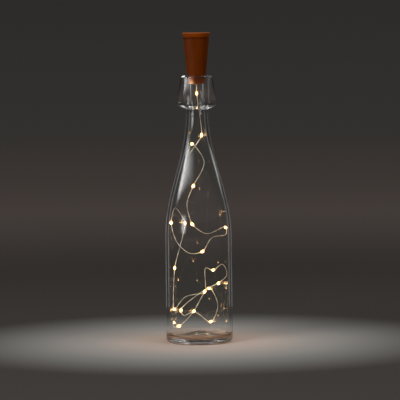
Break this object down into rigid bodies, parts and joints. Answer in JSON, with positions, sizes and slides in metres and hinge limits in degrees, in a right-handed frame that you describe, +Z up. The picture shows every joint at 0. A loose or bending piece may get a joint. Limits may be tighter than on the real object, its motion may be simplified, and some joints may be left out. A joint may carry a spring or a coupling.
{
  "type": "bottle light",
  "caption": "Clear glass bottle with a bulging collar, a tapered plastic cork with a push switch and cells, and a string of small warm lights hanging inside.",
  "frame": {"origin": "centre of the bottle's foot, on the surface that it stands on", "axes": "+Z up along the bottle's axis, front towards -Y, +X to the right when seen from the front"},
  "size_m": [0.075, 0.075, 0.348],
  "materials": {
    "clear_glass": "clear, smooth, slightly wavy pressed glass",
    "cork_plastic": "smooth satin burnt orange plastic",
    "button_plastic": "smooth satin burnt orange plastic",
    "white_plastic": "matte moulded",
    "dark_plastic": "matte moulded",
    "circuit_board": "lacquered",
    "cell_steel": "fine brushed",
    "spring_steel": "plated wire",
    "contact_metal": "bright rolled strip",
    "screw_steel": "plated",
    "soft_rubber": "soft translucent",
    "light_wire": "thin bonded silver wire",
    "bead_resin": "clear cast drop, glowing warm white",
    "light_chip": "phosphor, lit warm white"
  },
  "bodies": {
    "bottle": {"bottle": "clear_glass"},
    "cork": {"cork_body": "cork_plastic", "battery_sleeve": "white_plastic", "button_cell_1": "cell_steel", "button_cell_2": "cell_steel", "button_cell_3": "cell_steel", "negative_spring": "spring_steel", "driver_board": "circuit_board", "driver_chip": "dark_plastic", "resistor": "dark_plastic", "contact_strip": "contact_metal", "wire_grommet": "soft_rubber", "lead_tail": "light_wire", "led_wire": "light_wire", "led_beads": "bead_resin", "led_chips": "light_chip", "wire_tip": "light_wire"},
    "cap": {"top_cap": "cork_plastic", "switch_board": "circuit_board", "switch_housing": "dark_plastic", "board_screws": "screw_steel", "positive_contact": "contact_metal"},
    "button": {"power_button": "button_plastic", "switch_plunger": "white_plastic"}
  },
  "joints": [
    {"name": "cork_lift", "type": "slide", "parent": "bottle", "child": "cork", "axis": [0, 0, 1], "range_m": [0, 0.3], "deforming": ["led_wire", "led_beads", "led_chips", "wire_tip"]},
    {"name": "cap_pull", "type": "slide", "parent": "cork", "child": "cap", "axis": [0, 0, 1], "range_m": [0, 0.02]},
    {"name": "button_press", "type": "slide", "parent": "cap", "child": "button", "axis": [0, 0, -1], "range_m": [0, 0.0012], "stiffness_N_per_m": 800}
  ]
}
